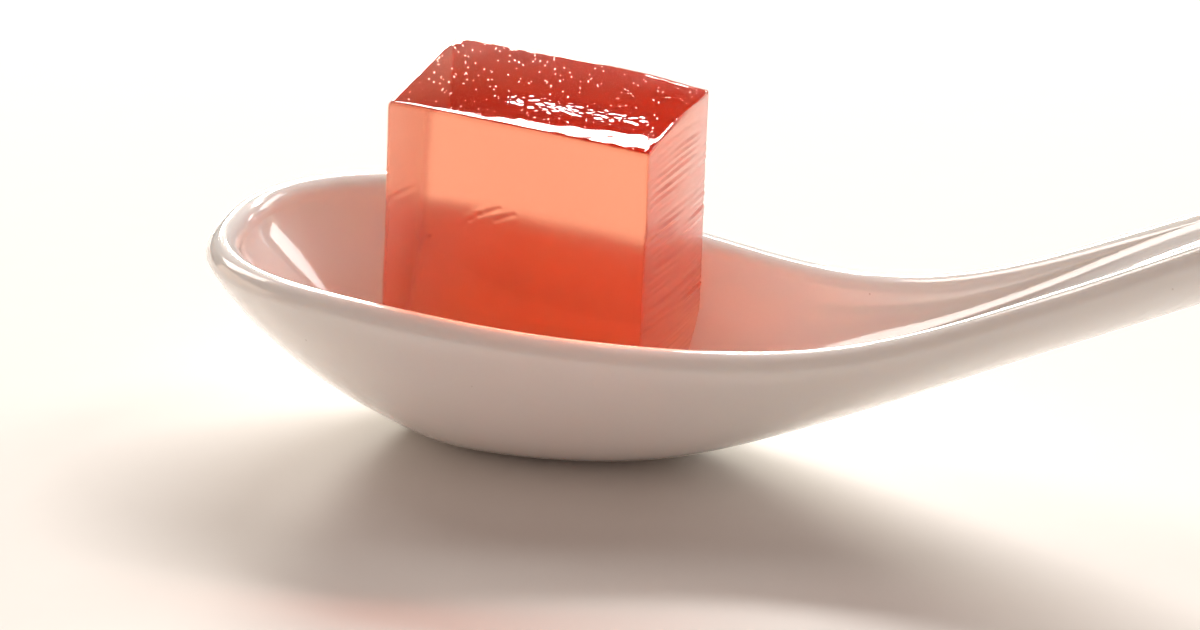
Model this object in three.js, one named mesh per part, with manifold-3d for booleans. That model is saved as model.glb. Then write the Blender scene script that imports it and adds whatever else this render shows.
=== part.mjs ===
// A knife-cut block of fruit jelly standing in a porcelain soup spoon.
//
// Frame: millimetres, +X along the spoon from the bowl's tip to the handle's end, +Z up.
// The origin is the middle of the flat foot that the spoon stands on.
//
// The spoon is a shell of ribs. Each rib starts on the spine, the line along the bottom of
// the bowl and handle, and rises outwards to one point of the rim. The jelly is a rounded
// box, cut to the shape of the bowl that it stands in.

import * as THREE from "three";
import { mergeVertices } from "three/addons/utils/BufferGeometryUtils.js";
import Module from "manifold-3d";

const wasm = await Module();
wasm.setup();

// ---- Driving dimensions of the spoon ----

const OUTLINE = {
  tipX: -35.9, // the bowl's front end
  wideX: -4.7, // where the bowl is widest
  neckX: 60.5, // where the bowl has run out into the handle
  endX: 94, // the handle's end
  bowlHalfWidth: 20.2,
  neckHalfWidth: 7.8,
  endHalfWidth: 5.8,
  tipPower: 2.48, // 2 would be an ellipse; more is blunter
  endRound: 5.4, // length of the handle's rounded end
};

const RIM = {
  height: 21.85, // at the tip
  dipSlope: 0.11, // the rim sinks gently from the tip to the handle
  dipX: -16.5,
  dipSoftness: 4,
  riseSlope: 0.58, // and then climbs with the handle
  riseX: 37.5,
  riseSoftness: 7.2,
};

const SPINE = {
  startX: -8, // the tip's ribs all fan out from here
  startSoftness: 5,
  endInset: 6.5, // the handle's end ribs fan out this far before its end
  endSoftness: 2,
  bottom: -1.1, // below zero, so that trimming at zero leaves the flat foot
  riseSlope: 0.45,
  riseX: 15.8,
  riseSoftness: 5.15,
};

// The section of a rib is z = rim - depth * (1 - k^a)^(1/b), with k from 0 on the spine to
// 1 on the rim. The pairs a, b below are blended from the bowl to the tip and the handle.
const SECTION = { bowl: [2, 2], tip: [1.57, 1.18], handle: [2.33, 2] };
const TIP_BLEND = { x: -14, softness: 5 };
const HANDLE_BLEND = { startX: 11.5, length: 35 };

const RIM_RADIUS = 1.8; // the rim is a half round of this radius
const WALL = 2 * RIM_RADIUS;
const FLOOR = { bowl: 4, handle: 4, startX: 12, length: 34 };
const DISH = { depth: 1.5, startX: 40, length: 35 }; // the handle's upper side, once past the bowl

// ---- Driving dimensions of the jelly ----

const JELLY = {
  length: 29.8,
  depth: 18.1,
  height: 36, // down into the bowl, before it is cut to fit
  topCentre: [0.3, 4.3, 37.7],
  yaw: -5.9, // degrees, about the vertical
  leanRight: 2.9, // degrees, its top leans to +X
  leanForward: 1.7, // degrees, its top leans to -Y
  edgeRadius: 0.6,
  frontSink: 0.45, // the top sinks by this much at its front edge
  frontSinkFrom: 0.45, // and starts to sink at this share of the way there
  bulge: 0.35, // the sides swell by this much
  footSpread: 0.012, // and widen towards the foot, as a share of the drop
  clearance: 0.3, // between the jelly and the porcelain
};

// ---- Facets ----

const TIP_STEPS = 16;
const BODY_STEPS = 26;
const END_STEPS = 6;
const RIB_STEPS = 12;
const LIP_STEPS = 6;
const JELLY_STEPS = [14, 9, 15];

// ---- Small functions ----

const degrees = (angle) => (angle * Math.PI) / 180;
const softplus = (x, softness) => softness * Math.log1p(Math.exp(x / softness));
const mix = (a, b, share) => a + (b - a) * share;

function smoothStep(t) {
  const clamped = Math.min(Math.max(t, 0), 1);
  return clamped * clamped * (3 - 2 * clamped);
}

// ---- The spoon's form ----

function rimHeight(x) {
  const dip = RIM.dipSlope * softplus(x - RIM.dipX, RIM.dipSoftness);
  const rise = RIM.riseSlope * softplus(x - RIM.riseX, RIM.riseSoftness);
  return RIM.height - dip + rise;
}

function halfWidth(x, inset) {
  const widest = OUTLINE.bowlHalfWidth - inset;
  const tipX = OUTLINE.tipX + inset;
  const endX = OUTLINE.endX - inset;
  const roundX = OUTLINE.endX - OUTLINE.endRound;
  if (x < OUTLINE.wideX) {
    const t = Math.min((OUTLINE.wideX - x) / (OUTLINE.wideX - tipX), 1);
    return widest * (1 - t ** OUTLINE.tipPower) ** (1 / OUTLINE.tipPower);
  }
  const taper = Math.max((x - OUTLINE.neckX) / (OUTLINE.endX - OUTLINE.neckX), 0);
  const handle = mix(OUTLINE.neckHalfWidth, OUTLINE.endHalfWidth, taper) - inset;
  const closing = smoothStep((x - OUTLINE.wideX) / (OUTLINE.neckX - OUTLINE.wideX));
  const t = Math.min(Math.max((x - roundX) / (endX - roundX), 0), 1);
  return mix(widest, handle, closing) * Math.sqrt(1 - t * t);
}

// The stations of the outline, closer together round the tip and the handle's end.
function stations(inset) {
  const tipX = OUTLINE.tipX + inset;
  const roundX = OUTLINE.endX - OUTLINE.endRound;
  const roundLength = OUTLINE.endX - inset - roundX;
  const quarter = Math.PI / 2;
  const list = [];
  for (let i = 0; i < TIP_STEPS; i++) {
    list.push(OUTLINE.wideX + (tipX - OUTLINE.wideX) * Math.cos((quarter * i) / TIP_STEPS));
  }
  for (let i = 0; i < BODY_STEPS; i++) {
    list.push(mix(OUTLINE.wideX, roundX, i / BODY_STEPS));
  }
  for (let i = 0; i <= END_STEPS; i++) {
    list.push(roundX + roundLength * Math.sin((quarter * i) / END_STEPS));
  }
  return list;
}

// Where on the spine the rib to a rim point at x starts.
function spineX(x) {
  const { startX, startSoftness, endInset, endSoftness } = SPINE;
  const fromTip = softplus(OUTLINE.tipX - startX, startSoftness);
  const along = startX + softplus(x - startX, startSoftness) - fromTip;
  const lastX = OUTLINE.endX - endInset;
  return lastX - softplus(lastX - along, endSoftness);
}

function spineHeight(x) {
  return SPINE.bottom + SPINE.riseSlope * softplus(x - SPINE.riseX, SPINE.riseSoftness);
}

function sectionPowers(rimX, x) {
  const tip = 1 / (1 + Math.exp((rimX - TIP_BLEND.x) / TIP_BLEND.softness));
  const handle = smoothStep((x - HANDLE_BLEND.startX) / HANDLE_BLEND.length);
  return [0, 1].map((i) =>
    mix(mix(SECTION.bowl[i], SECTION.handle[i], handle), SECTION.tip[i], tip),
  );
}

// The points at share k of every rib between the spine and the rim, on the +Y side.
function ribPoints(k, { inset, drop, lift }) {
  return stations(inset).map((rimX) => {
    const x = spineX(rimX);
    const bottom = spineHeight(x) + lift(x);
    const top = rimHeight(rimX) - drop;
    const [a, b] = sectionPowers(rimX, x);
    const z = top - (top - bottom) * (1 - k ** a) ** (1 / b);
    return [mix(x, rimX, k), halfWidth(rimX, inset) * k, z];
  });
}

// The points of the half-round lip, from its outer side at angle 0 to its inner side at pi.
function lipPoints(angle) {
  const inset = RIM_RADIUS * (1 - Math.cos(angle));
  const drop = RIM_RADIUS * (1 - Math.sin(angle));
  return stations(inset).map((x) => [x, halfWidth(x, inset), rimHeight(x) - drop]);
}

// Inside points of the bowl, lifted to a shallow dish where they lie in the handle.
function dished(points, inset, k) {
  return stations(WALL).map((innerX, i) => {
    const [x, y, z] = points[i];
    const rib = Math.hypot(innerX - spineX(innerX), halfWidth(innerX, WALL));
    const inward = (inset - RIM_RADIUS + (1 - k) * rib) / (RIM_RADIUS + rib);
    const dish = rimHeight(x) - DISH.depth * smoothStep(inward);
    return [x, y, mix(z, dish, smoothStep((innerX - DISH.startX) / DISH.length))];
  });
}

// One closed loop: the points along +Y, and back by -Y.
function roundTrip(points) {
  const back = points.slice(1, -1).reverse().map(([x, y, z]) => [x, -y, z]);
  return [...points, ...back];
}

const floorLift = (x) => mix(FLOOR.bowl, FLOOR.handle, smoothStep((x - FLOOR.startX) / FLOOR.length));

const OUTSIDE = { inset: 0, drop: RIM_RADIUS, lift: () => 0 };
const INSIDE = { inset: WALL, drop: RIM_RADIUS, lift: floorLift };

// The shares of a rib that have a loop each, closer together near the rim.
function ribShares() {
  return Array.from({ length: RIB_STEPS + 1 }, (_, i) => Math.sin((Math.PI / 2) * (i / RIB_STEPS)));
}

// All loops of the spoon's skin: up the outside, over the lip and down the inside.
function spoonLoops() {
  const outside = ribShares().map((k) => ribPoints(k, OUTSIDE));
  const lip = [];
  for (let i = 1; i < LIP_STEPS; i++) {
    const angle = (Math.PI * i) / LIP_STEPS;
    const points = lipPoints(angle);
    const inner = angle > Math.PI / 2;
    lip.push(inner ? dished(points, RIM_RADIUS * (1 - Math.cos(angle)), 1) : points);
  }
  const inside = ribShares().map((k) => dished(ribPoints(k, INSIDE), WALL, k));
  return [...outside, ...lip, ...inside.reverse()].map(roundTrip);
}

// ---- Meshes and solids ----

// Joins loops of equal length into one closed skin, whose first and last loops have
// shrunk to a line.
function loft(loops) {
  const count = loops[0].length;
  const position = loops.flat(2);
  const index = [];
  for (let row = 0; row + 1 < loops.length; row++) {
    for (let i = 0; i < count; i++) {
      const next = (i + 1) % count;
      const [a, b] = [row * count + i, row * count + next];
      const [c, d] = [a + count, b + count];
      index.push(a, d, b, a, c, d);
    }
  }
  const geometry = new THREE.BufferGeometry();
  geometry.setAttribute("position", new THREE.Float32BufferAttribute(position, 3));
  geometry.setIndex(index);
  return geometry;
}

function toSolid(geometry) {
  geometry.deleteAttribute("normal");
  geometry.deleteAttribute("uv");
  const merged = mergeVertices(geometry, 1e-4);
  const mesh = new wasm.Mesh({
    numProp: 3,
    vertProperties: merged.attributes.position.array,
    triVerts: new Uint32Array(merged.index.array),
  });
  return new wasm.Manifold(mesh);
}

function toGeometry(solid) {
  const { vertProperties, triVerts } = solid.getMesh();
  const geometry = new THREE.BufferGeometry();
  geometry.setAttribute("position", new THREE.BufferAttribute(vertProperties, 3));
  geometry.setIndex(new THREE.BufferAttribute(triVerts, 1));
  geometry.computeVertexNormals();
  return geometry;
}

// ---- The spoon ----

// Everything below the ground, which the foot is trimmed by.
function groundSolid() {
  const [length, width, depth] = [240, 120, 20];
  return toSolid(new THREE.BoxGeometry(length, width, depth).translate(0, 0, -depth / 2));
}

function spoonSolid() {
  return toSolid(loft(spoonLoops())).subtract(groundSolid());
}

// ---- The jelly ----

// The space that the jelly has to stay out of: the bowl's wall and everything straight below.
function underBowlSolid() {
  const { clearance } = JELLY;
  const lift = (x) => floorLift(x) + clearance;
  const loopAt = (k, inset, drop) => roundTrip(ribPoints(k, { inset, drop, lift }));
  const floor = ribShares().map((k) => loopAt(k, WALL + clearance, RIM_RADIUS));
  const innerRim = loopAt(1, WALL + clearance, -clearance);
  const outerRim = loopAt(1, 0, -clearance);
  const base = -8;
  const flatten = (points) => points.map(([x, y]) => [x, y, base]);
  return toSolid(loft([flatten(floor[0]), flatten(outerRim), outerRim, innerRim, ...floor.reverse()]));
}

// Pushes a point of the plain box onto a box with rounded edges.
function roundEdges(point, half) {
  const core = half.clone().subScalar(JELLY.edgeRadius);
  const inner = point.clone().clamp(core.clone().negate(), core);
  const outwards = point.clone().sub(inner);
  if (outwards.lengthSq() > 0) {
    outwards.setLength(JELLY.edgeRadius);
  }
  return inner.add(outwards);
}

// Gives the block its soft, hand-cut form: swollen sides, a wider foot and a top that
// sinks a little towards the front.
function soften(point, half) {
  const [u, v, w] = [point.x / half.x, point.y / half.y, point.z / half.z];
  const swell = JELLY.bulge * (1 - w * w);
  const drop = half.z - point.z;
  const spread = 1 + (JELLY.footSpread * drop) / half.z;
  const front = smoothStep((-v - JELLY.frontSinkFrom) / (1 - JELLY.frontSinkFrom));
  const sink = JELLY.frontSink * front * smoothStep(w);
  return new THREE.Vector3(
    point.x * spread + swell * u * (1 - v * v),
    point.y * spread + swell * v * (1 - u * u),
    point.z - sink,
  );
}

// Spreads the equal steps of one side so that the first and last cover the rounded edges.
function edgeSpacing(value, half, steps) {
  if (Math.abs(value) > half * (1 - 1 / steps)) {
    return value;
  }
  return (value * (1 - JELLY.edgeRadius / half)) / (1 - 2 / steps);
}

function jellyBlock() {
  const half = new THREE.Vector3(JELLY.length, JELLY.depth, JELLY.height).multiplyScalar(0.5);
  const geometry = new THREE.BoxGeometry(JELLY.length, JELLY.depth, JELLY.height, ...JELLY_STEPS);
  const position = geometry.attributes.position;
  for (let i = 0; i < position.count; i++) {
    const spaced = new THREE.Vector3(
      edgeSpacing(position.getX(i), half.x, JELLY_STEPS[0]),
      edgeSpacing(position.getY(i), half.y, JELLY_STEPS[1]),
      edgeSpacing(position.getZ(i), half.z, JELLY_STEPS[2]),
    );
    position.setXYZ(i, ...soften(roundEdges(spaced, half), half).toArray());
  }
  const turn = new THREE.Euler(
    degrees(JELLY.leanForward),
    degrees(JELLY.leanRight),
    degrees(JELLY.yaw),
    "ZYX",
  );
  const placing = new THREE.Matrix4().makeRotationFromEuler(turn).setPosition(...JELLY.topCentre);
  return geometry.translate(0, 0, -half.z).applyMatrix4(placing);
}

// ---- The part ----

const porcelain = new THREE.MeshStandardMaterial({ color: "#efe8df", roughness: 0.12, metalness: 0 });
const redJelly = new THREE.MeshStandardMaterial({ color: "#d9452b", roughness: 0.15, metalness: 0 });

const spoon = new THREE.Mesh(toGeometry(spoonSolid()), porcelain);
spoon.name = "spoon";

const jelly = new THREE.Mesh(toGeometry(toSolid(jellyBlock()).subtract(underBowlSolid())), redJelly);
jelly.name = "jelly";

const part = new THREE.Group();
part.add(spoon, jelly);

export default part;
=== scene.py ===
"""A knife-cut block of red jelly in a glazed porcelain soup spoon, lit from behind.

Sizes are in millimetres, as in the part's source, and become metres where meshes are made.
+X runs from the bowl's tip to the handle's end, +Z is up.
"""

import math

import bmesh
import bpy
import numpy as np
from mathutils import Euler, Matrix, Vector
from mathutils.bvhtree import BVHTree


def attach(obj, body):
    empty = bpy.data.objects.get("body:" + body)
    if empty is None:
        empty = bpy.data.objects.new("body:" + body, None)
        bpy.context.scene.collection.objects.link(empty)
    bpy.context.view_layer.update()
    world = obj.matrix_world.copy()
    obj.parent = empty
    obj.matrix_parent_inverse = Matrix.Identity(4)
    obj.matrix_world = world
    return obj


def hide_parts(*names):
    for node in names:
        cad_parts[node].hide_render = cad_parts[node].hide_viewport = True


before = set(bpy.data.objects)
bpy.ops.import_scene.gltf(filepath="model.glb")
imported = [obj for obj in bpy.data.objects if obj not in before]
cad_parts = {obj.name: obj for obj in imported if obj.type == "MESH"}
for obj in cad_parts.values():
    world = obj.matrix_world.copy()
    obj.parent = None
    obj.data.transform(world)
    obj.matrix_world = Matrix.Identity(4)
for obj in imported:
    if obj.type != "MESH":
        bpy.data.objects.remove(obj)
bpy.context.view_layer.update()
MM = 0.001
BODY = "root"

# ---- The spoon's form, as in the part's source ----

OUTLINE = dict(tip_x=-35.9, wide_x=-4.7, neck_x=60.5, end_x=94, bowl_half_width=20.2,
               neck_half_width=7.8, end_half_width=5.8, tip_power=2.48, end_round=5.4)
RIM = dict(height=21.85, dip_slope=0.11, dip_x=-16.5, dip_softness=4,
           rise_slope=0.58, rise_x=37.5, rise_softness=7.2)
SPINE = dict(start_x=-8, start_softness=5, end_inset=6.5, end_softness=2,
             bottom=-1.1, rise_slope=0.45, rise_x=15.8, rise_softness=5.15)
SECTION = dict(bowl=(2, 2), tip=(1.57, 1.18), handle=(2.33, 2))
TIP_BLEND = dict(x=-14, softness=5)
HANDLE_BLEND = dict(start_x=11.5, length=35)
RIM_RADIUS = 1.8
WALL = 2 * RIM_RADIUS
FLOOR = dict(bowl=4, handle=4, start_x=12, length=34)
DISH = dict(depth=1.5, start_x=40, length=35)

TIP_STEPS = 56
BODY_STEPS = 90
END_STEPS = 20
RIB_STEPS = 44
LIP_STEPS = 14


def softplus(x, softness):
    return softness * np.logaddexp(0, x / softness)


def mix(a, b, share):
    return a + (b - a) * share


def smooth_step(t):
    t = np.clip(t, 0, 1)
    return t * t * (3 - 2 * t)


def rim_height(x):
    dip = RIM["dip_slope"] * softplus(x - RIM["dip_x"], RIM["dip_softness"])
    rise = RIM["rise_slope"] * softplus(x - RIM["rise_x"], RIM["rise_softness"])
    return RIM["height"] - dip + rise


def half_width(x, inset):
    """Half the spoon's width at the stations x, on an outline moved inwards by inset."""
    o = OUTLINE
    widest = o["bowl_half_width"] - inset
    tip = np.clip((o["wide_x"] - x) / (o["wide_x"] - o["tip_x"] - inset), 0, 1)
    bowl = widest * (1 - tip ** o["tip_power"]) ** (1 / o["tip_power"])
    taper = np.clip((x - o["neck_x"]) / (o["end_x"] - o["neck_x"]), 0, None)
    handle = mix(o["neck_half_width"], o["end_half_width"], taper) - inset
    closing = smooth_step((x - o["wide_x"]) / (o["neck_x"] - o["wide_x"]))
    round_x = o["end_x"] - o["end_round"]
    end = np.clip((x - round_x) / (o["end_round"] - inset), 0, 1)
    body = mix(widest, handle, closing) * np.sqrt(1 - end * end)
    return np.where(x < o["wide_x"], bowl, body)


def stations(inset):
    """The outline's stations, closer together round the tip and the handle's end."""
    o = OUTLINE
    tip_x = o["tip_x"] + inset
    round_x = o["end_x"] - o["end_round"]
    quarter = math.pi / 2
    tip = o["wide_x"] + (tip_x - o["wide_x"]) * np.cos(quarter * np.arange(TIP_STEPS) / TIP_STEPS)
    body = mix(o["wide_x"], round_x, np.arange(BODY_STEPS) / BODY_STEPS)
    end = round_x + (o["end_round"] - inset) * np.sin(quarter * np.arange(END_STEPS + 1) / END_STEPS)
    return np.concatenate([tip, body, end])


def spine_x(x):
    """Where on the spine the rib to a rim point at x starts."""
    s = SPINE
    from_tip = softplus(OUTLINE["tip_x"] - s["start_x"], s["start_softness"])
    along = s["start_x"] + softplus(x - s["start_x"], s["start_softness"]) - from_tip
    last_x = OUTLINE["end_x"] - s["end_inset"]
    return last_x - softplus(last_x - along, s["end_softness"])


def spine_height(x):
    return SPINE["bottom"] + SPINE["rise_slope"] * softplus(x - SPINE["rise_x"], SPINE["rise_softness"])


def section_powers(rim_x, x):
    tip = 1 / (1 + np.exp((rim_x - TIP_BLEND["x"]) / TIP_BLEND["softness"]))
    handle = smooth_step((x - HANDLE_BLEND["start_x"]) / HANDLE_BLEND["length"])
    pairs = zip(SECTION["bowl"], SECTION["handle"], SECTION["tip"])
    return [mix(mix(bowl, grip, handle), point, tip) for bowl, grip, point in pairs]


def floor_lift(x):
    return mix(FLOOR["bowl"], FLOOR["handle"], smooth_step((x - FLOOR["start_x"]) / FLOOR["length"]))


def round_trip(points):
    """One closed loop: the points along +Y, and back by -Y."""
    return np.concatenate([points, points[1:-1][::-1] * (1, -1, 1)])


def rib_points(k, inset, lift):
    """The points at share k of every rib between the spine and the rim."""
    rim_x = stations(inset)
    x = spine_x(rim_x)
    bottom = spine_height(x) + lift * floor_lift(x)
    top = rim_height(rim_x) - RIM_RADIUS
    a, b = section_powers(rim_x, x)
    z = np.maximum(top - (top - bottom) * (1 - k ** a) ** (1 / b), 0)
    return np.stack([mix(x, rim_x, k), half_width(rim_x, inset) * k, z], axis=1)


def lip_points(angle):
    """The points of the half-round lip, from its outer side at angle 0 to its inner side at pi."""
    inset = RIM_RADIUS * (1 - math.cos(angle))
    rim_x = stations(inset)
    z = rim_height(rim_x) - RIM_RADIUS * (1 - math.sin(angle))
    return np.stack([rim_x, half_width(rim_x, inset), z], axis=1)


def dished(points, inset, k):
    """Inside points of the bowl, lifted to a shallow dish where they lie in the handle."""
    inner_x = stations(WALL)
    rib = np.hypot(inner_x - spine_x(inner_x), half_width(inner_x, WALL))
    inward = (inset - RIM_RADIUS + (1 - k) * rib) / (RIM_RADIUS + rib)
    dish = rim_height(points[:, 0]) - DISH["depth"] * smooth_step(inward)
    share = smooth_step((inner_x - DISH["start_x"]) / DISH["length"])
    points[:, 2] = mix(points[:, 2], dish, share)
    return points


def spoon_loops():
    """All loops of the spoon's skin: up the outside, over the lip and down the inside."""
    ks = np.sin(math.pi / 2 * np.arange(RIB_STEPS + 1) / RIB_STEPS)
    loops = [rib_points(k, 0, 0) for k in ks]
    for angle in math.pi * np.arange(1, LIP_STEPS) / LIP_STEPS:
        points = lip_points(angle)
        if angle > math.pi / 2:
            points = dished(points, RIM_RADIUS * (1 - math.cos(angle)), 1)
        loops.append(points)
    loops += [dished(rib_points(k, WALL, 1), WALL, k) for k in ks[::-1]]
    return [round_trip(points) for points in loops]


# ---- Meshes ----

WELD = 0.002


def mesh_object(name, points, faces):
    """A smooth-shaded object from points in millimetres, with points closer than WELD joined."""
    mesh = bpy.data.meshes.new(name)
    mesh.from_pydata((np.asarray(points) * MM).tolist(), [], faces)
    work = bmesh.new()
    work.from_mesh(mesh)
    bmesh.ops.remove_doubles(work, verts=work.verts, dist=WELD * MM)
    bmesh.ops.recalc_face_normals(work, faces=work.faces)
    work.to_mesh(mesh)
    work.free()
    mesh.shade_smooth()
    piece = bpy.data.objects.new(name, mesh)
    bpy.context.scene.collection.objects.link(piece)
    return piece


def loft_faces(rows, count):
    """The quads between neighbouring loops of count points each."""
    faces = []
    for row in range(rows - 1):
        for i in range(count):
            a, b = row * count + i, row * count + (i + 1) % count
            faces.append((a, a + count, b + count, b))
    return faces


# ---- The jelly's form ----

# The block widens by foot_spread from its top down to mean_height. Angles are in degrees.
JELLY = dict(length=29.8, depth=18.1, top_centre=(0.3, 4.3, 37.7), yaw=-5.9, lean_right=2.9,
             lean_forward=1.7, edge_radius=0.35, bulge=0.35, foot_spread=0.012,
             mean_height=36, sink_into_glaze=0.06)
JELLY_STEPS = (140, 86, 150)  # along its length, depth and height
EDGE_EASE = np.array([0, 0.2, 0.5, 1.0])  # where the steps round an edge end, as shares of its radius
EDGE_STEPS = len(EDGE_EASE) - 1
TINY = 1e-9
RIPPLES = dict(waves=24, paces=(0.6, 1.6))  # a pace is the waves to each of the named wavelengths

# The top, with places as (to the right, to the back) from its middle.
TOP_RISE = 0.65  # from its front edge to its back edge
TOP_LEFT = dict(width=2.2, fall=0.16)  # its left edge rolls off
TOP_RIGHT = dict(place=(15, 9), radius=5.5, lift=-0.65)  # its back right corner droops
# Its front edge rolls off over a width that grows to the right.
TOP_FRONT = dict(narrow=0.8, wide=5.0, growth=1.5, slope=0.1, unevenness=0.06, wavelength=4)
# Its back edge has a narrow uneven lip.
TOP_BACK = dict(width=0.9, lift=0.045, unevenness=0.2, wavelengths=(3, 30))
TOP_CORNER = dict(radius=1.5, pull=0.35, drop=0.15)  # its back left corner is worn
# A strip along its middle is rippled.
TOP_PATCH = dict(start=(-2, -3.2), end=(11, -2.4), width=1.5, height=0.015, wavelengths=(1.8, 0.7))
TOP_RIPPLE = dict(height=0.0025, wavelengths=(4, 2))
TOP_SPECKS = dict(count=90, radius=(0.18, 0.32), height=0.02)
TOP_FADE = 3  # the power by which the top's relief dies out down the sides

# The front, with places as (to the right, down) from the middle of its top edge. A crack is a
# thin lip between two grooves.
FRONT_SCORES = dict(right_end=-10.5, fade=1.5, spacing=0.8, length=60, height=0.006)
FRONT_CRACKS = (((-5.7, 12.6), (-4.9, 11.7)), ((-4.9, 11.7), (-3.8, 10.9)), ((-3.8, 10.9), (-1.6, 9.7)),
                ((-2.0, 11.2), (0.1, 10.1)), ((-14.9, 12.2), (-13.3, 10.5)), ((-13.3, 10.5), (-11.4, 9.2)))
CRACK_LIP = dict(height=0.04, width=0.22)
CRACK_GROOVE = dict(depth=0.03, place=0.45, width=0.25)
FRONT_PITS = ((-9.2, 14.6), (-13.8, 16.4), (-8.1, 16.5), (-4.6, 19.7), (-2.0, 17.6), (11.6, 18.5))
PIT = dict(depth=0.09, radius=0.3)

# The scores of the knife in both ends, and the slow waves of every side.
KNIFE_MARKS = dict(spacing=0.75, length=60, tilt=-6, right=0.045, left=0.008)
KNIFE_PRESSURE = dict(mean=0.6, change=0.4, wavelengths=(12, 6))
SLOW_WAVES = dict(front=dict(height=0.03, length=14), ends=dict(height=0.02, length=14),
                  back=dict(height=0.02, length=10))


def jelly_placing():
    """The matrix from the block's own axes, with its top in the plane z = 0, to the part's."""
    turn = Euler((math.radians(JELLY["lean_forward"]), math.radians(JELLY["lean_right"]),
                  math.radians(JELLY["yaw"])), "XYZ")
    return Matrix.Translation(JELLY["top_centre"]) @ turn.to_matrix().to_4x4()


def edge_spacing(length, steps):
    """Places from -length / 2 to length / 2, with short steps in each rounded edge."""
    radius = JELLY["edge_radius"]
    ease = EDGE_EASE * radius
    middle = np.linspace(radius, length - radius, steps - 2 * EDGE_STEPS + 1)[1:-1]
    return np.concatenate([ease, middle, length - ease[::-1]]) - length / 2


def box_grid(nu, nv, nw):
    """The grid points (i, j, k) on the surface of a box of nu by nv by nw steps, and its quads."""
    index = {}
    quads = []

    def point(*ijk):
        return index.setdefault(ijk, len(index))

    def side(corner, across, n_across, up, n_up):
        for p in range(n_across):
            for q in range(n_up):
                quad = []
                for dp, dq in ((0, 0), (1, 0), (1, 1), (0, 1)):
                    ijk = [c + (p + dp) * s + (q + dq) * t for c, s, t in zip(corner, across, up)]
                    quad.append(point(*ijk))
                quads.append(quad)

    x, y, z = (1, 0, 0), (0, 1, 0), (0, 0, 1)
    side((0, 0, 0), x, nu, z, nw)
    side((0, nv, 0), x, nu, z, nw)
    side((0, 0, 0), y, nv, z, nw)
    side((nu, 0, 0), y, nv, z, nw)
    side((0, 0, 0), x, nu, y, nv)
    side((0, 0, nw), x, nu, y, nv)
    return np.array(list(index)), quads


def ripples(a, b, length_a, length_b, seed):
    """A random wavy field of about those wavelengths along a and b, with a mean square of 1."""
    draw = np.random.default_rng(seed)
    count = RIPPLES["waves"]
    angle = draw.uniform(0, 2 * math.pi, count)
    pace = 2 * math.pi * draw.uniform(*RIPPLES["paces"], count)
    phase = draw.uniform(0, 2 * math.pi, count)
    waves = np.outer(a, np.cos(angle) * pace / length_a) + np.outer(b, np.sin(angle) * pace / length_b)
    return np.sin(waves + phase).sum(axis=1) * math.sqrt(2 / count)


def mound(a, b, place, radius):
    """1 at the place, and falling off round it."""
    return np.exp(-((a - place[0]) ** 2 + (b - place[1]) ** 2) / radius ** 2)


def distance_to_line(a, b, start, end):
    """The distance of the points (a, b) from the straight piece between start and end."""
    along = np.subtract(end, start)
    t = np.clip(((a - start[0]) * along[0] + (b - start[1]) * along[1]) / (along @ along), 0, 1)
    return np.hypot(a - start[0] - t * along[0], b - start[1] - t * along[1])


def roll_off(distance, width):
    """1 at the edge, with a straight fall of its slope to 0 at that width from the edge."""
    return np.clip(1 - distance / width, 0, None) ** 2


def top_relief(u, v):
    """How far the top lies above its plane: its slope, corners, edges, wet ripples and specks."""
    length, depth = JELLY["length"], JELLY["depth"]
    relief = TOP_RISE * (v / depth + 0.5)
    relief -= TOP_LEFT["fall"] * roll_off(u + length / 2, TOP_LEFT["width"])
    relief += TOP_RIGHT["lift"] * mound(u, v, TOP_RIGHT["place"], TOP_RIGHT["radius"])
    along = np.clip(u / length + 0.5, 0, 1)
    width = mix(TOP_FRONT["narrow"], TOP_FRONT["wide"], along ** TOP_FRONT["growth"])
    wavelength = TOP_FRONT["wavelength"]
    width *= 1 + TOP_FRONT["unevenness"] * ripples(u, v, wavelength, wavelength, seed=1)
    relief -= TOP_FRONT["slope"] * width / 2 * roll_off(v + depth / 2, width)
    unevenness = TOP_BACK["unevenness"] * ripples(u, v, *TOP_BACK["wavelengths"], seed=7)
    width = TOP_BACK["width"] * (1 + unevenness)
    relief += TOP_BACK["lift"] * roll_off(depth / 2 - v, width)
    relief -= TOP_CORNER["drop"] * mound(u, v, (-length / 2, depth / 2), TOP_CORNER["radius"])
    from_patch = distance_to_line(u, v, TOP_PATCH["start"], TOP_PATCH["end"])
    near = np.exp(-(from_patch / TOP_PATCH["width"]) ** 2)
    relief += TOP_PATCH["height"] * near * ripples(u, v, *TOP_PATCH["wavelengths"], seed=2)
    relief += TOP_RIPPLE["height"] * ripples(u, v, *TOP_RIPPLE["wavelengths"], seed=3)
    return relief + top_specks(u, v)


def top_specks(u, v):
    """Small bumps and dents, scattered over the top."""
    length, depth = JELLY["length"], JELLY["depth"]
    relief = np.zeros(len(u))
    draw = np.random.default_rng(4)
    for _ in range(TOP_SPECKS["count"]):
        place = draw.uniform((-length / 2, -depth / 2), (length / 2, depth / 2))
        radius = draw.uniform(*TOP_SPECKS["radius"])
        relief += draw.uniform(-1, 1) * TOP_SPECKS["height"] * mound(u, v, place, radius)
    return relief


def slow_waves(side, a, drop, seed):
    waves = SLOW_WAVES[side]
    return waves["height"] * ripples(a, drop, waves["length"], waves["length"], seed)


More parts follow.
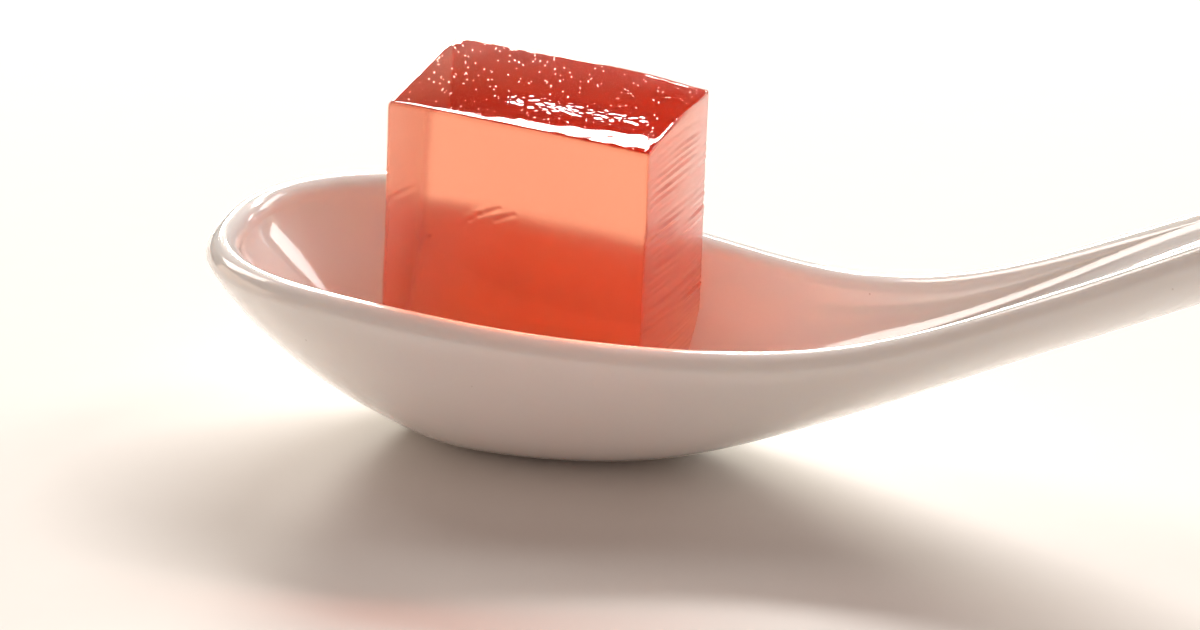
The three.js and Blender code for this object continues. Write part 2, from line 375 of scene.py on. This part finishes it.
def front_relief(u, drop):
    """The front: nearly smooth, with upright scores at its left end, cracks and pits."""
    left = smooth_step((FRONT_SCORES["right_end"] - u) / FRONT_SCORES["fade"])
    scores = ripples(u, drop, FRONT_SCORES["spacing"], FRONT_SCORES["length"], seed=6)
    relief = slow_waves("front", u, drop, seed=5) + FRONT_SCORES["height"] * left * scores
    for start, end in FRONT_CRACKS:
        away = distance_to_line(u, drop, start, end)
        from_groove = (away - CRACK_GROOVE["place"]) / CRACK_GROOVE["width"]
        lip = CRACK_LIP["height"] * np.exp(-(away / CRACK_LIP["width"]) ** 2)
        relief += lip - CRACK_GROOVE["depth"] * np.exp(-from_groove ** 2)
    for place in FRONT_PITS:
        relief -= PIT["depth"] * mound(u, drop, place, PIT["radius"])
    return relief


def knife_relief(v, drop, height, seed):
    """The ends of the block: long scores where the knife was drawn through."""
    tilt = math.radians(KNIFE_MARKS["tilt"])
    across = drop * math.cos(tilt) + v * math.sin(tilt)
    along = v * math.cos(tilt) - drop * math.sin(tilt)
    scores = ripples(along, across, KNIFE_MARKS["length"], KNIFE_MARKS["spacing"], seed)
    change = ripples(along, across, *KNIFE_PRESSURE["wavelengths"], seed + 1)
    strength = KNIFE_PRESSURE["mean"] + KNIFE_PRESSURE["change"] * change
    return height * scores * strength + slow_waves("ends", v, drop, seed + 2)


def bowl_depths(grid, u, v, places, bowl):
    """How far below the plane of its top the block ends in the glaze, for every grid point."""
    down = places.to_3x3() @ Vector((0, 0, -1))
    spread = 1 + JELLY["foot_spread"]
    uprights = [tuple(ij) for ij in grid[:, :2].tolist()]
    depths = {}
    for upright, x, y in zip(uprights, u * spread, v * spread):
        if upright not in depths:
            start = places @ Vector((x, y, 0))
            hit = bowl.ray_cast(start, down)[0]
            depths[upright] = (hit - start).length
    return np.array([depths[upright] for upright in uprights]) + JELLY["sink_into_glaze"]


def drops(row, bottom):
    """How far below the plane of the top each point lies, in the rows from the top down."""
    ease = EDGE_EASE * JELLY["edge_radius"]
    share = np.clip((row - EDGE_STEPS) / (JELLY_STEPS[2] - EDGE_STEPS), 0, 1)
    below_edge = mix(JELLY["edge_radius"], bottom, share)
    return np.where(row < EDGE_STEPS, ease[np.minimum(row, EDGE_STEPS)], below_edge)


def round_edges(u, v, drop):
    """Moves points of the plain box onto one with rounded edges, and gives their normals."""
    r = JELLY["edge_radius"]
    half = np.array([JELLY["length"], JELLY["depth"]]) / 2 - r
    p = np.stack([u, v, -drop], axis=1)
    inner = np.stack([np.clip(u, -half[0], half[0]), np.clip(v, -half[1], half[1]),
                      np.minimum(-drop, -r)], axis=1)
    out = p - inner
    size = np.linalg.norm(out, axis=1, keepdims=True)
    normal = np.where(size > TINY, out / np.maximum(size, TINY), 0)
    return inner + normal * r, normal


def soften_sides(local, u, v, drop):
    """Swells the sides, and widens them towards the foot."""
    s = np.clip(drop / JELLY["mean_height"] * 2 - 1, -1, 1)
    swell = JELLY["bulge"] * (1 - s * s)
    wide = 1 + JELLY["foot_spread"] * drop / JELLY["mean_height"]
    a, b = 2 * u / JELLY["length"], 2 * v / JELLY["depth"]
    local[:, 0] = local[:, 0] * wide + swell * a * (1 - b * b)
    local[:, 1] = local[:, 1] * wide + swell * b * (1 - a * a)


def shape_top(local, u, v, near_top):
    """Adds the top's relief, and draws in its worn corner."""
    local[:, 2] += top_relief(u, v) * near_top
    corner = mound(u, v, (-JELLY["length"] / 2, JELLY["depth"] / 2), TOP_CORNER["radius"])
    pull = TOP_CORNER["pull"] * near_top * corner
    local[:, 0] += pull
    local[:, 1] -= pull


def mark_sides(local, normal, u, v, drop):
    """Adds the relief of each side, by how far the skin faces that way."""
    right, left = np.clip(normal[:, 0], 0, 1), np.clip(-normal[:, 0], 0, 1)
    front, back = np.clip(-normal[:, 1], 0, 1), np.clip(normal[:, 1], 0, 1)
    local[:, 0] += right * knife_relief(v, drop, KNIFE_MARKS["right"], seed=10)
    local[:, 0] -= left * knife_relief(v, drop, KNIFE_MARKS["left"], seed=20)
    local[:, 1] += back * slow_waves("back", u, drop, seed=30) - front * front_relief(u, drop)


def jelly_skin(bowl):
    """The points of the block's skin in the part's axes, and its quads."""
    places = jelly_placing()
    grid, quads = box_grid(*JELLY_STEPS)
    u = edge_spacing(JELLY["length"], JELLY_STEPS[0])[grid[:, 0]]
    v = edge_spacing(JELLY["depth"], JELLY_STEPS[1])[grid[:, 1]]
    bottom = bowl_depths(grid, u, v, places, bowl)
    drop = drops(grid[:, 2], bottom)
    local, normal = round_edges(u, v, drop)
    soften_sides(local, u, v, drop)
    shape_top(local, u, v, (1 - drop / bottom) ** TOP_FADE)
    mark_sides(local, normal, u, v, drop)
    matrix = np.array(places)
    return local @ matrix[:3, :3].T + matrix[:3, 3], quads


# ---- Materials ----

JELLY_TURBIDITY = 0.05
JELLY_ROUGHNESS = dict(sides=0.27, right=0.5, top=0.06)
JELLY_COAT = dict(sides=0.15, right=1.0, top=0.7)
JELLY_SPECKS = dict(scale=1500, radius=0.16, height=0.013)
JELLY_GRAIN = dict(scale=300, height=0.004)
JELLY_SHADOW_TINT = (0.66, 0.32, 0.2, 1)
FACING = dict(start=0.6, full=0.9)
NOISE_DETAIL = 3
PORCELAIN_COLOURS = ((0.885, 0.88, 0.865, 1), (0.865, 0.858, 0.84, 1))
PORCELAIN_SPECKS = dict(scale=170, radius=0.035, colour=(0.42, 0.36, 0.31, 1))
GLAZE_WAVES = dict(scale=45, height=0.05)
FLOOR_GRAIN = dict(scale=240, colours=((0.88, 0.858, 0.825, 1), (0.864, 0.842, 0.809, 1)))


def new_material(name):
    material = bpy.data.materials.new(name)
    material.use_nodes = True
    return material, material.node_tree.nodes, material.node_tree.links


def set_inputs(node, **values):
    """Sets a node's inputs by name, with _ for each space."""
    for name, value in values.items():
        node.inputs[name.replace("_", " ")].default_value = value


def noise(nodes, links, where, scale):
    texture = nodes.new("ShaderNodeTexNoise")
    set_inputs(texture, Scale=scale, Detail=NOISE_DETAIL)
    links.new(where, texture.inputs["Vector"])
    return texture.outputs[0]


def dots(nodes, links, where, scale, radius):
    """1 in the middle of scattered dots, which fade out at radius, in cells of the pattern."""
    texture = nodes.new("ShaderNodeTexVoronoi")
    fade = nodes.new("ShaderNodeMapRange")
    fade.interpolation_type = "SMOOTHSTEP"
    set_inputs(texture, Scale=scale)
    set_inputs(fade, From_Max=radius, To_Min=1, To_Max=0)
    links.new(where, texture.inputs["Vector"])
    links.new(texture.outputs["Distance"], fade.inputs["Value"])
    return fade.outputs["Result"]


def colour_mix(nodes, links, share, first, second):
    """The colour between first and second, where first is a colour or a socket."""
    blend = nodes.new("ShaderNodeMixRGB")
    links.new(share, blend.inputs["Fac"])
    blend.inputs["Color2"].default_value = second
    if isinstance(first, tuple):
        blend.inputs["Color1"].default_value = first
    else:
        links.new(first, blend.inputs["Color1"])
    return blend.outputs["Color"]


def bump(nodes, links, height, millimetres, below=None):
    """A normal that is bent by a height field, on top of the normal of another bump."""
    node = nodes.new("ShaderNodeBump")
    set_inputs(node, Strength=1, Distance=millimetres * MM)
    links.new(height, node.inputs["Height"])
    if below:
        links.new(below, node.inputs["Normal"])
    return node.outputs["Normal"]


def bend_normals(links, normal, shader):
    for name in ("Normal", "Coat Normal"):
        links.new(normal, shader.inputs[name])


def facing_mask(nodes, links, axis):
    """1 where the surface faces that way along an axis, and 0 on the other faces."""
    geometry = nodes.new("ShaderNodeNewGeometry")
    axes = nodes.new("ShaderNodeSeparateXYZ")
    mask = nodes.new("ShaderNodeMapRange")
    set_inputs(mask, From_Min=FACING["start"], From_Max=FACING["full"])
    links.new(geometry.outputs["True Normal"], axes.inputs[0])
    links.new(axes.outputs[axis], mask.inputs["Value"])
    return mask.outputs["Result"]


def product(nodes, links, a, b):
    node = nodes.new("ShaderNodeMath")
    node.operation = "MULTIPLY"
    links.new(a, node.inputs[0])
    links.new(b, node.inputs[1])
    return node.outputs[0]


def ramp(nodes, links, share, low, high):
    """The value between low and high, either of which is a number or a socket."""
    node = nodes.new("ShaderNodeMapRange")
    links.new(share, node.inputs["Value"])
    for name, end in (("To Min", low), ("To Max", high)):
        if isinstance(end, float):
            node.inputs[name].default_value = end
        else:
            links.new(end, node.inputs[name])
    return node.outputs["Result"]


def porcelain_material():
    """White body under clear glaze, with faint waves in the glaze and a few iron specks."""
    material, nodes, links = new_material("porcelain")
    where = nodes.new("ShaderNodeTexCoord").outputs["Object"]
    shader = nodes["Principled BSDF"]
    set_inputs(shader, Roughness=0.12, IOR=1.5, Subsurface_Weight=0.8,
               Subsurface_Radius=(1.0, 0.94, 0.88), Subsurface_Scale=0.0022,
               Coat_Weight=1.0, Coat_Roughness=0.02, Coat_IOR=1.5)
    clouds = noise(nodes, links, where, GLAZE_WAVES["scale"])
    white = colour_mix(nodes, links, clouds, *PORCELAIN_COLOURS)
    specks = dots(nodes, links, where, PORCELAIN_SPECKS["scale"], PORCELAIN_SPECKS["radius"])
    colour = colour_mix(nodes, links, specks, white, PORCELAIN_SPECKS["colour"])
    links.new(colour, shader.inputs["Base Color"])
    bend_normals(links, bump(nodes, links, clouds, GLAZE_WAVES["height"]), shader)
    return material


def by_face(nodes, links, right, top, values):
    """A value that differs between the sides, the right side and the top."""
    value = ramp(nodes, links, right, values["sides"], values["right"])
    return ramp(nodes, links, top, value, values["top"])


def jelly_normal(nodes, links, top):
    """The skin's fine grain, with wet specks on the top."""
    where = nodes.new("ShaderNodeTexCoord").outputs["Object"]
    grain = bump(nodes, links, noise(nodes, links, where, JELLY_GRAIN["scale"]), JELLY_GRAIN["height"])
    specks = dots(nodes, links, where, JELLY_SPECKS["scale"], JELLY_SPECKS["radius"])
    return bump(nodes, links, product(nodes, links, specks, top), JELLY_SPECKS["height"], below=grain)


def jelly_material():
    """Clear tinted jelly with a share of turbid jelly that scatters light inside.

    Shadow rays pass through its skin with a tint, so that light reaches the glaze below it.
    The wet top is smoother than the cut sides.
    """
    material, nodes, links = new_material("jelly")
    clear = nodes["Principled BSDF"]
    turbid = nodes.new("ShaderNodeBsdfPrincipled")
    top = facing_mask(nodes, links, "Z")
    right = facing_mask(nodes, links, "X")
    coat = by_face(nodes, links, right, top, JELLY_COAT)
    roughness = by_face(nodes, links, right, top, JELLY_ROUGHNESS)
    normal = jelly_normal(nodes, links, top)
    for shader in (clear, turbid):
        set_inputs(shader, IOR=1.38, Coat_Roughness=0.03, Coat_IOR=1.36)
        links.new(roughness, shader.inputs["Roughness"])
        links.new(coat, shader.inputs["Coat Weight"])
        bend_normals(links, normal, shader)
    set_inputs(clear, Base_Color=(1, 1, 1, 1), Transmission_Weight=1.0)
    set_inputs(turbid, Base_Color=(0.97, 0.1, 0.02, 1), Subsurface_Weight=1.0,
               Subsurface_Radius=(1.0, 0.25, 0.1), Subsurface_Scale=0.014)
    blend = nodes.new("ShaderNodeMixShader")
    blend.inputs["Fac"].default_value = JELLY_TURBIDITY
    links.new(clear.outputs[0], blend.inputs[1])
    links.new(turbid.outputs[0], blend.inputs[2])
    path = nodes.new("ShaderNodeLightPath")
    passing = nodes.new("ShaderNodeBsdfTransparent")
    passing.inputs["Color"].default_value = JELLY_SHADOW_TINT
    skin = nodes.new("ShaderNodeMixShader")
    links.new(path.outputs["Is Shadow Ray"], skin.inputs["Fac"])
    links.new(blend.outputs[0], skin.inputs[1])
    links.new(passing.outputs[0], skin.inputs[2])
    links.new(skin.outputs[0], nodes["Material Output"].inputs["Surface"])
    volume = nodes.new("ShaderNodeVolumeAbsorption")
    set_inputs(volume, Color=(0.95, 0.36, 0.04, 1), Density=76)
    links.new(volume.outputs[0], nodes["Material Output"].inputs["Volume"])
    return material


def floor_material():
    material, nodes, links = new_material("floor")
    shader = nodes["Principled BSDF"]
    where = nodes.new("ShaderNodeTexCoord").outputs["Object"]
    grain = noise(nodes, links, where, FLOOR_GRAIN["scale"])
    links.new(colour_mix(nodes, links, grain, *FLOOR_GRAIN["colours"]), shader.inputs["Base Color"])
    set_inputs(shader, Roughness=0.8)
    return material


# ---- The studio ----

CAMERA = dict(azimuth=15.5, elevation=23.5, distance=650, px_per_mm=9.2, origin_px=(536.8, 432.3))
IMAGE = (1200, 630)
SENSOR_MM = 36
# The soft boxes round the spoon: their turn to the right of the camera's view and their
# elevation in degrees, their distance and size, their power in watts and their colour.
WHITE = (1, 0.97, 0.94)
CREAM = (1, 0.96, 0.86)
PEACH = (1, 0.92, 0.86)
AMBER = (1, 0.76, 0.6)
LIGHTS = {
    "high key": dict(turn=15, elevation=38.8, distance=2000, size=(1450, 200), power=32, colour=WHITE),
    "low key": dict(turn=-5, elevation=16, distance=2000, size=(550, 330), power=26, colour=CREAM),
    "right": dict(turn=62, elevation=34, distance=1200, size=(300, 760), power=3.6, colour=WHITE),
    "right slit": dict(turn=44, elevation=15, distance=1200, size=(60, 200), power=0.22, colour=PEACH),
    "left": dict(turn=-46, elevation=40, distance=1200, size=(400, 460), power=3.1, colour=PEACH),
    "left fill": dict(turn=-80, elevation=14, distance=1200, size=(1000, 500), power=2.6, colour=AMBER),
    "right fill": dict(turn=90, elevation=12, distance=1200, size=(1000, 450), power=1.4, colour=AMBER),
}
# The surroundings fade from front, in the direction of turn and elevation, to back.
AMBIENT = dict(colour=(1, 0.74, 0.66, 1), front=0.34, back=0.0, turn=180, elevation=40, fade_end=-0.2)
GROUND = dict(half=3000, level=-0.05)


def camera_axes():
    """The camera's right, up and back directions in the part's axes."""
    a, e = math.radians(CAMERA["azimuth"]), math.radians(CAMERA["elevation"])
    right = Vector((math.cos(a), math.sin(a), 0))
    up = Vector((-math.sin(a) * math.sin(e), math.cos(a) * math.sin(e), math.cos(e)))
    return right, up, right.cross(up)


def add_camera():
    right, up, back = camera_axes()
    across = (IMAGE[0] / 2 - CAMERA["origin_px"][0]) / CAMERA["px_per_mm"]
    above = (CAMERA["origin_px"][1] - IMAGE[1] / 2) / CAMERA["px_per_mm"]
    data = bpy.data.cameras.new("camera")
    data.sensor_width = SENSOR_MM
    data.lens = SENSOR_MM * CAMERA["px_per_mm"] * CAMERA["distance"] / IMAGE[0]
    camera = bpy.data.objects.new("camera", data)
    turn = Matrix((right, up, back)).transposed().to_4x4()
    place = (right * across + up * above + back * CAMERA["distance"]) * MM
    camera.matrix_world = Matrix.Translation(place) @ turn
    bpy.context.scene.collection.objects.link(camera)
    bpy.context.scene.camera = camera


def towards(turn, elevation):
    """The direction that lies turn degrees to the right of the camera's view, and elevation up."""
    a = math.radians(CAMERA["azimuth"] - turn)
    e = math.radians(elevation)
    return Vector((-math.sin(a) * math.cos(e), math.cos(a) * math.cos(e), math.sin(e)))


def add_light(name, turn, elevation, distance, size, power, colour):
    """A rectangular soft box that faces the spoon."""
    data = bpy.data.lights.new(name, "AREA")
    data.shape = "RECTANGLE"
    data.size, data.size_y = size[0] * MM, size[1] * MM
    data.energy = power
    data.color = colour
    lamp = bpy.data.objects.new(name, data)
    direction = towards(turn, elevation)
    facing = direction.to_track_quat("Z", "Y").to_matrix().to_4x4()
    lamp.matrix_world = Matrix.Translation(direction * distance * MM) @ facing
    bpy.context.scene.collection.objects.link(lamp)


def add_world():
    """Surroundings that are pale on the camera's side and dark behind the spoon."""
    world = bpy.data.worlds.new("world")
    world.use_nodes = True
    nodes, links = world.node_tree.nodes, world.node_tree.links
    where = nodes.new("ShaderNodeTexCoord")
    facing = nodes.new("ShaderNodeVectorMath")
    facing.operation = "DOT_PRODUCT"
    facing.inputs[1].default_value = towards(AMBIENT["turn"], AMBIENT["elevation"])
    strength = nodes.new("ShaderNodeMapRange")
    strength.interpolation_type = "SMOOTHSTEP"
    set_inputs(strength, From_Min=AMBIENT["fade_end"], From_Max=1,
               To_Min=AMBIENT["back"], To_Max=AMBIENT["front"])
    background = nodes["Background"]
    background.inputs["Color"].default_value = AMBIENT["colour"]
    links.new(where.outputs["Generated"], facing.inputs[0])
    links.new(facing.outputs["Value"], strength.inputs["Value"])
    links.new(strength.outputs["Result"], background.inputs["Strength"])
    bpy.context.scene.world = world


def add_floor():
    half, level = GROUND["half"], GROUND["level"]
    corners = [(-half, -half, level), (half, -half, level), (half, half, level), (-half, half, level)]
    floor = mesh_object("floor", corners, [(0, 1, 2, 3)])
    floor.data.materials.append(floor_material())


# ---- Putting it together ----


def add_spoon():
    loops = spoon_loops()
    points = np.concatenate(loops)
    spoon = mesh_object("porcelain_spoon", points, loft_faces(len(loops), len(loops[0])))
    spoon.data.materials.append(porcelain_material())
    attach(spoon, BODY)
    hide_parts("spoon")
    return spoon


def bowl_tree(spoon):
    """The spoon's skin in millimetres, for finding where the jelly's lines meet it."""
    points = [v.co / MM for v in spoon.data.vertices]
    faces = [tuple(f.vertices) for f in spoon.data.polygons]
    return BVHTree.FromPolygons(points, faces)


def add_jelly(bowl):
    jelly = mesh_object("jelly_block", *jelly_skin(bowl))
    jelly.data.materials.append(jelly_material())
    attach(jelly, BODY)
    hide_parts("jelly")


bpy.context.scene.view_settings.view_transform = "Standard"
add_camera()
for light_name, light in LIGHTS.items():
    add_light(light_name, **light)
add_world()
add_floor()
spoon = add_spoon()
add_jelly(bowl_tree(spoon))
